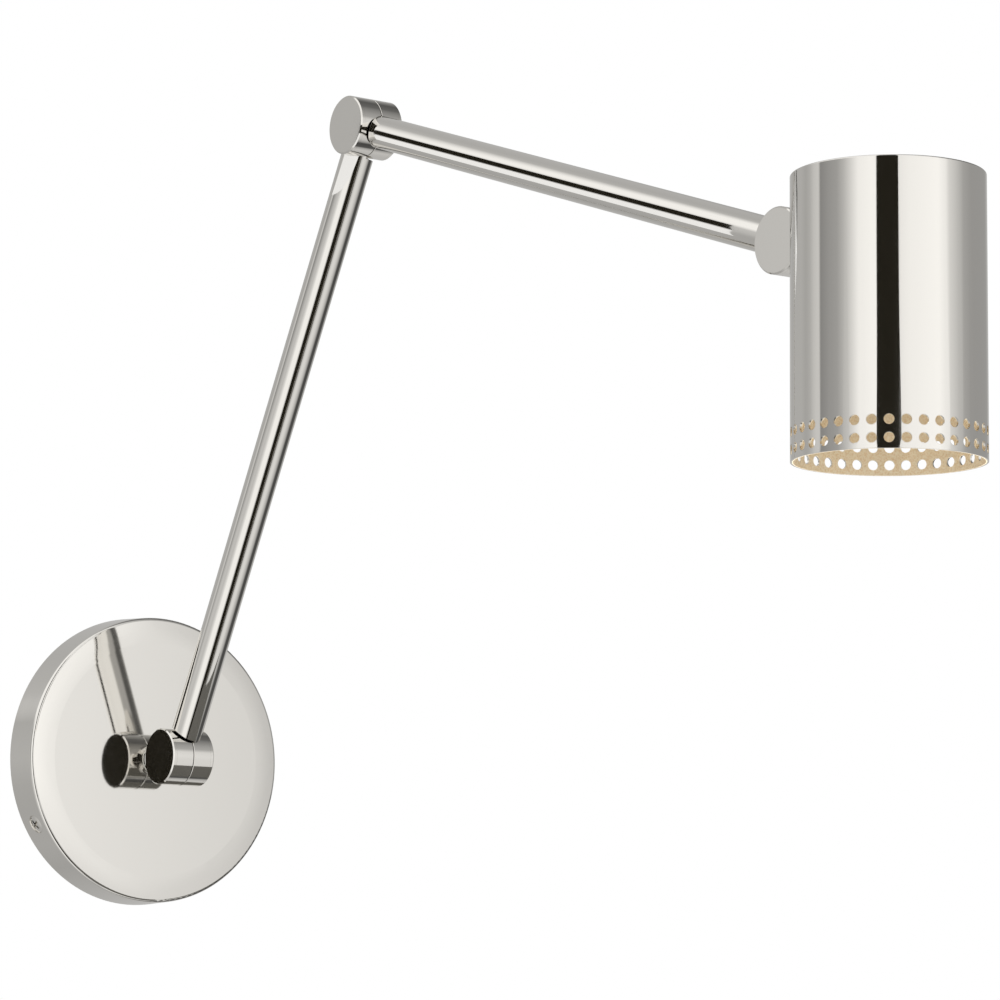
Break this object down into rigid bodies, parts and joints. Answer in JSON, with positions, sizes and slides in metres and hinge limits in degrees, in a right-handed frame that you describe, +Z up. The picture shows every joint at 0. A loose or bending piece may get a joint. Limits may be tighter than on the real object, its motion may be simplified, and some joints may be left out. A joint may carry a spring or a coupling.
{
  "type": "swing arm wall sconce",
  "caption": "Wall light with a round canopy, a swivelling neck, jointed tube arms with barrel knuckles and a closed-top cylinder shade pierced by round holes near its open bottom.",
  "frame": {"origin": "middle of the two wall screws, on the wall plane at the back of the mounting plate", "axes": "+Y points into the wall, +Z is up, +X runs along the wall to the right seen from the room; the arms reach out towards -Y"},
  "size_m": [0.1206, 0.5055, 0.3147],
  "materials": {
    "polished_nickel": "polished nickel plate on brass",
    "knuckle_cap": "polished nickel plate on brass",
    "knuckle_drum": "polished nickel plate on brass",
    "arm_tube": "polished nickel plate on brass tube",
    "canopy_metal": "polished nickel plate on spun steel",
    "shade_metal": "polished nickel outside, warm gold lacquer inside",
    "zinc_steel": "zinc plated",
    "plated_sheet": "zinc plated sheet",
    "green_screw": "green dyed zinc",
    "nylon": "natural nylon",
    "fibre": "vulcanised fibre",
    "wire_insulation": "wire insulation",
    "phenolic": "moulded phenolic",
    "brass": "plain brass",
    "bulb_brass": "pressed brass",
    "frosted_glass": "frosted glass"
  },
  "bodies": {
    "wall_base": {"mounting_plate": "plated_sheet", "canopy": "canopy_metal", "canopy_screws": "polished_nickel", "ground_screw": "green_screw", "swivel_bush": "nylon", "swivel_stop_pin": "zinc_steel"},
    "swivel": {"swivel_neck": "polished_nickel", "swivel_friction_washer": "nylon", "swivel_stop_washer": "zinc_steel", "swivel_spring_washer": "zinc_steel", "swivel_nut": "zinc_steel", "base_left_drum": "knuckle_drum", "base_left_cap": "knuckle_cap", "base_pivot_bolt": "zinc_steel", "base_friction_disc": "fibre", "base_spring_washer": "zinc_steel", "base_pivot_nut": "zinc_steel"},
    "lower_arm": {"base_right_drum": "knuckle_drum", "base_right_cap": "knuckle_cap", "base_stop_pin": "zinc_steel", "lower_arm_tube": "arm_tube", "lower_arm_leads": "wire_insulation", "elbow_left_drum": "knuckle_drum", "elbow_left_cap": "knuckle_cap", "elbow_pivot_bolt": "zinc_steel", "elbow_friction_disc": "fibre", "elbow_spring_washer": "zinc_steel", "elbow_pivot_nut": "zinc_steel"},
    "upper_arm": {"elbow_right_drum": "knuckle_drum", "elbow_right_cap": "knuckle_cap", "elbow_stop_pin": "zinc_steel", "upper_arm_tube": "arm_tube", "upper_arm_leads": "wire_insulation", "head_left_drum": "knuckle_drum", "head_left_cap": "knuckle_cap", "head_pivot_bolt": "zinc_steel", "head_friction_disc": "fibre", "head_spring_washer": "zinc_steel", "head_pivot_nut": "zinc_steel"},
    "head": {"head_right_drum": "knuckle_drum", "head_right_cap": "knuckle_cap", "head_stop_pin": "zinc_steel", "shade_collar": "polished_nickel", "shade": "shade_metal", "shade_saddle_washer": "zinc_steel", "shade_nut": "zinc_steel", "lamp_bracket": "plated_sheet", "lampholder": "phenolic", "lampholder_stud": "brass", "lampholder_nut": "zinc_steel", "bulb_base": "bulb_brass", "bulb_glass": "frosted_glass"}
  },
  "joints": [
    {"name": "base_swivel", "type": "hinge", "parent": "wall_base", "child": "swivel", "pos_m": [0, 0, 0], "axis": [0, 1, 0], "range_deg": [-90, 90]},
    {"name": "lower_arm_pivot", "type": "hinge", "parent": "swivel", "child": "lower_arm", "pos_m": [0, -0.0349, 0], "axis": [1, 0, 0], "range_deg": [-27, 72]},
    {"name": "elbow_pivot", "type": "hinge", "parent": "lower_arm", "child": "upper_arm", "pos_m": [0, -0.16617, 0.24278], "axis": [1, 0, 0], "range_deg": [-79, 30]},
    {"name": "head_pivot", "type": "hinge", "parent": "upper_arm", "child": "head", "pos_m": [0, -0.42776, 0.15475], "axis": [1, 0, 0], "range_deg": [-70, 90]}
  ]
}
